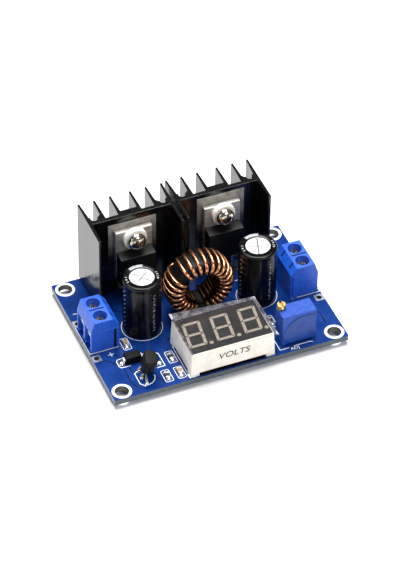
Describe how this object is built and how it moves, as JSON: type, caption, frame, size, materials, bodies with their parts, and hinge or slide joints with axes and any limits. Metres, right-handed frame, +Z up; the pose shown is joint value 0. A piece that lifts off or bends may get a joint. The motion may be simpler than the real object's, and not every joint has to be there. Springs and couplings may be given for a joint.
{
  "type": "step-down converter module",
  "caption": "Adjustable step-down converter board with finned heatsinks, ring choke, capacitors, digit display, trimmer and screw terminals.",
  "frame": {"origin": "centre of the mounting-hole rectangle, on the board's top face", "axes": "+X to the right along the edge that carries the display, +Y towards the heatsinks, +Z up out of the board's component face"},
  "size_m": [0.066, 0.0483, 0.0287],
  "materials": {
    "board": "blue solder mask",
    "black_anodised": "black anodised",
    "tinned_lead": "tinned",
    "thermal_pad": "grey silicone",
    "tab_metal": "tinned copper",
    "package_black": "moulded resin",
    "nylon_white": "nylon",
    "screw_nickel": "nickel plated",
    "sleeve_black": "shrink sleeve",
    "can_aluminium": "bare",
    "seal_rubber": "moulded",
    "wound_roll": "paper and foil",
    "core_black": "coated iron powder",
    "copper_enamel": "enamelled copper",
    "case_ivory": "moulded",
    "face_grey": "printed",
    "segment_ivory": "diffusing resin",
    "filling_resin": "cast resin",
    "clear_film": "clear protective film",
    "trimmer_blue": "moulded",
    "brass": "turned",
    "terminal_blue": "moulded",
    "plated_steel": "plated",
    "chip_tan": "ceramic",
    "solder": "solder"
  },
  "bodies": {
    "module": {"board": "board", "heatsink_left": "black_anodised", "heatsink_right": "black_anodised", "heatsink_pins": "tinned_lead", "insulating_pad_left": "thermal_pad", "insulating_pad_right": "thermal_pad", "regulator_tab": "tab_metal", "regulator_body": "package_black", "regulator_leads": "tinned_lead", "rectifier_tab": "tab_metal", "rectifier_body": "package_black", "rectifier_leads": "tinned_lead", "shoulder_washer_left": "nylon_white", "shoulder_washer_right": "nylon_white", "clamp_screw_left": "screw_nickel", "clamp_screw_right": "screw_nickel", "capacitor_left_sleeve": "sleeve_black", "capacitor_left_can": "can_aluminium", "capacitor_left_seal": "seal_rubber", "capacitor_left_leads": "tinned_lead", "capacitor_left_roll": "wound_roll", "capacitor_right_sleeve": "sleeve_black", "capacitor_right_can": "can_aluminium", "capacitor_right_seal": "seal_rubber", "capacitor_right_leads": "tinned_lead", "capacitor_right_roll": "wound_roll", "inductor_core": "core_black", "inductor_winding": "copper_enamel", "display_case": "case_ivory", "display_face": "face_grey", "display_segments": "segment_ivory", "display_filling": "filling_resin", "display_pins": "tinned_lead", "display_film": "clear_film", "trimmer_case": "trimmer_blue", "trimmer_pins": "tinned_lead", "terminal_left_housing": "terminal_blue", "terminal_left_cages": "plated_steel", "terminal_right_housing": "terminal_blue", "terminal_right_cages": "plated_steel", "diode_body": "package_black", "diode_leads": "tinned_lead", "transistor_body": "package_black", "transistor_leads": "tinned_lead", "chip_capacitors": "chip_tan", "chip_resistors": "package_black", "chip_ends": "tinned_lead", "meter_chip": "package_black", "meter_chip_leads": "tinned_lead", "solder_joints": "solder"},
    "left_front_leaf": {"terminal_left_leaf_front": "plated_steel"},
    "left_front_screw": {"terminal_left_screw_front": "screw_nickel"},
    "left_rear_leaf": {"terminal_left_leaf_rear": "plated_steel"},
    "left_rear_screw": {"terminal_left_screw_rear": "screw_nickel"},
    "right_front_leaf": {"terminal_right_leaf_front": "plated_steel"},
    "right_front_screw": {"terminal_right_screw_front": "screw_nickel"},
    "right_rear_leaf": {"terminal_right_leaf_rear": "plated_steel"},
    "right_rear_screw": {"terminal_right_screw_rear": "screw_nickel"},
    "trimmer_adjuster": {"trimmer_screw": "brass"}
  },
  "joints": [
    {"name": "left_front_leaf_lift", "type": "slide", "parent": "module", "child": "left_front_leaf", "axis": [0, 0, -1], "range_m": [0, 0.00175]},
    {"name": "left_front_screw_turn", "type": "hinge", "parent": "left_front_leaf", "child": "left_front_screw", "pos_m": [-0.0287, -0.00204, 0.006], "axis": [0, 0, -1], "range_deg": [0, 1260]},
    {"name": "left_rear_leaf_lift", "type": "slide", "parent": "module", "child": "left_rear_leaf", "axis": [0, 0, -1], "range_m": [0, 0.00175]},
    {"name": "left_rear_screw_turn", "type": "hinge", "parent": "left_rear_leaf", "child": "left_rear_screw", "pos_m": [-0.0287, 0.00304, 0.006], "axis": [0, 0, -1], "range_deg": [0, 1260]},
    {"name": "right_front_leaf_lift", "type": "slide", "parent": "module", "child": "right_front_leaf", "axis": [0, 0, -1], "range_m": [0, 0.00175]},
    {"name": "right_front_screw_turn", "type": "hinge", "parent": "right_front_leaf", "child": "right_front_screw", "pos_m": [0.0287, -0.00204, 0.006], "axis": [0, 0, -1], "range_deg": [0, 1260]},
    {"name": "right_rear_leaf_lift", "type": "slide", "parent": "module", "child": "right_rear_leaf", "axis": [0, 0, -1], "range_m": [0, 0.00175]},
    {"name": "right_rear_screw_turn", "type": "hinge", "parent": "right_rear_leaf", "child": "right_rear_screw", "pos_m": [0.0287, 0.00304, 0.006], "axis": [0, 0, -1], "range_deg": [0, 1260]},
    {"name": "trimmer_turn", "type": "hinge", "parent": "module", "child": "trimmer_adjuster", "pos_m": [0.01615, -0.01697, 0.009], "axis": [0, 0, 1], "continuous": true}
  ],
  "couplings": [
    {"joint": "left_front_screw_turn", "follows": "left_front_leaf_lift", "rad_per_m": 12566},
    {"joint": "left_rear_screw_turn", "follows": "left_rear_leaf_lift", "rad_per_m": 12566},
    {"joint": "right_front_screw_turn", "follows": "right_front_leaf_lift", "rad_per_m": 12566},
    {"joint": "right_rear_screw_turn", "follows": "right_rear_leaf_lift", "rad_per_m": 12566}
  ]
}
